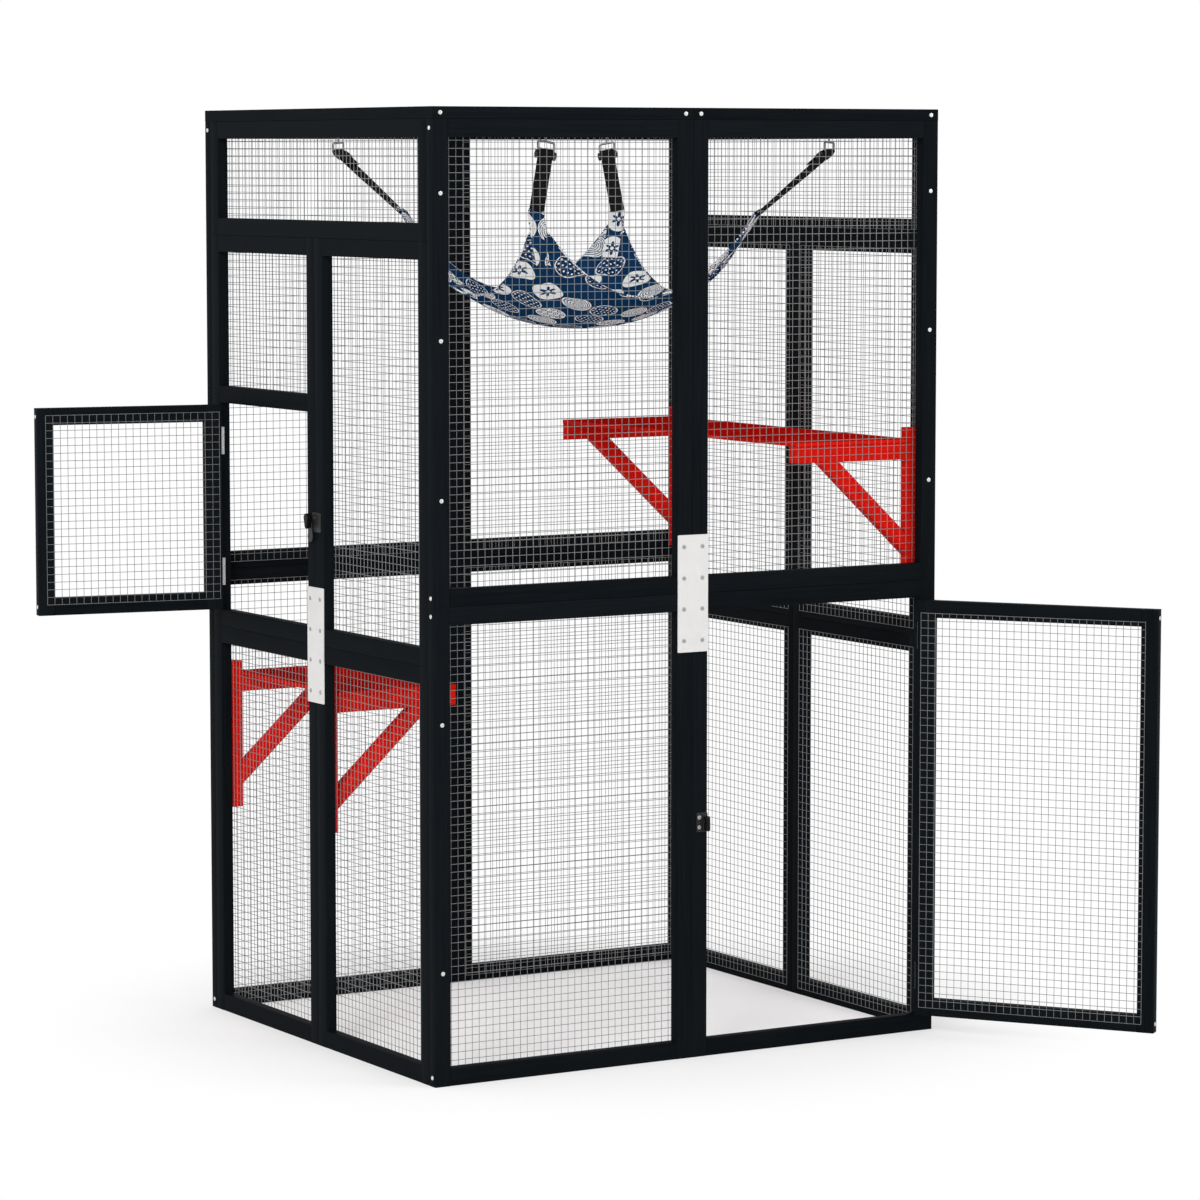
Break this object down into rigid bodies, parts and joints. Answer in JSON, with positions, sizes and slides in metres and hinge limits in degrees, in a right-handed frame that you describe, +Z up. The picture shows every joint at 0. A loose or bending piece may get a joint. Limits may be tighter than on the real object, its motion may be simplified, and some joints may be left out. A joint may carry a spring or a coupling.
{
  "type": "wooden catio",
  "caption": "Tall free-standing cat enclosure of black timber frames and welded mesh, with a front door, a side cat door, red wall platforms and a hanging fabric hammock.",
  "frame": {"origin": "middle of the enclosure's footprint, on the ground", "axes": "+Z up, -Y out of the front wall with the front door, -X out of the side wall with the cat door"},
  "size_m": [1.7192, 1.3382, 1.78],
  "materials": {
    "black_timber": "satin black paint over softwood",
    "red_timber": "satin red paint over softwood",
    "wire_mesh": "galvanised welded wire",
    "white_plate": "satin off-white powder coat",
    "screw_steel": "zinc plated",
    "hinge_steel": "zinc plated",
    "latch_black": "satin black coating",
    "hammock_cloth": "navy cotton canvas with a white print",
    "webbing": "woven black webbing",
    "black_plastic": "moulded nylon",
    "hook_steel": "polished"
  },
  "bodies": {
    "enclosure": {"back_lower_left_frame": "black_timber", "back_lower_right_frame": "black_timber", "back_upper_left_frame": "black_timber", "back_upper_right_frame": "black_timber", "back_wall_mesh": "wire_mesh", "cat_door_hinge_pins": "hinge_steel", "cat_door_hinge_plates": "hinge_steel", "cat_doorway_frame": "black_timber", "cat_latch_plate": "latch_black", "frame_screws": "screw_steel", "front_door_hinge_pins": "hinge_steel", "front_door_hinge_plates": "hinge_steel", "front_doorway_frame": "black_timber", "front_latch_plate": "latch_black", "front_lower_left_frame": "black_timber", "front_upper_left_frame": "black_timber", "front_upper_right_frame": "black_timber", "front_wall_mesh": "wire_mesh", "hammock_cloth": "hammock_cloth", "hammock_hooks": "hook_steel", "hammock_sliders": "black_plastic", "hammock_straps": "webbing", "joining_plates": "white_plate", "latch_screws": "screw_steel", "left_lower_front_frame": "black_timber", "left_lower_rear_frame": "black_timber", "left_middle_front_frame": "black_timber", "left_platform_arms": "red_timber", "left_platform_board": "red_timber", "left_platform_braces": "red_timber", "left_platform_legs": "red_timber", "left_top_strip_frame": "black_timber", "left_wall_mesh": "wire_mesh", "plate_screws": "screw_steel", "right_lower_front_frame": "black_timber", "right_lower_rear_frame": "black_timber", "right_middle_front_frame": "black_timber", "right_middle_rear_frame": "black_timber", "right_platform_arms": "red_timber", "right_platform_board": "red_timber", "right_platform_braces": "red_timber", "right_platform_legs": "red_timber", "right_top_strip_frame": "black_timber", "right_wall_mesh": "wire_mesh", "roof_left_frame": "black_timber", "roof_mesh": "wire_mesh", "roof_right_frame": "black_timber", "wall_bolts": "screw_steel"},
    "front_door": {"front_door_frame": "black_timber", "front_door_hinge_leaves": "hinge_steel", "front_door_mesh": "wire_mesh", "front_door_screws": "screw_steel"},
    "cat_door": {"cat_door_frame": "black_timber", "cat_door_hinge_leaves": "hinge_steel", "cat_door_mesh": "wire_mesh", "cat_door_screws": "screw_steel"},
    "front_latch": {"front_latch_lever": "latch_black"},
    "cat_latch": {"cat_latch_lever": "latch_black"}
  },
  "joints": [
    {"name": "front_door_swing", "type": "hinge", "parent": "enclosure", "child": "front_door", "pos_m": [0.5155, -0.468, 0.4395], "axis": [0, 0, 1], "range_deg": [-126, 54]},
    {"name": "cat_door_swing", "type": "hinge", "parent": "enclosure", "child": "cat_door", "pos_m": [-0.553, 0.4085, 1.006], "axis": [0, 0, -1], "range_deg": [-99, 81]},
    {"name": "front_latch_turn", "type": "hinge", "parent": "enclosure", "child": "front_latch", "pos_m": [0.027, -0.4674, 0.4465], "axis": [0, -1, 0], "range_deg": [0, 90]},
    {"name": "cat_latch_turn", "type": "hinge", "parent": "enclosure", "child": "cat_latch", "pos_m": [-0.5524, 0.013, 1.0025], "axis": [1, 0, 0], "range_deg": [0, 90]}
  ]
}
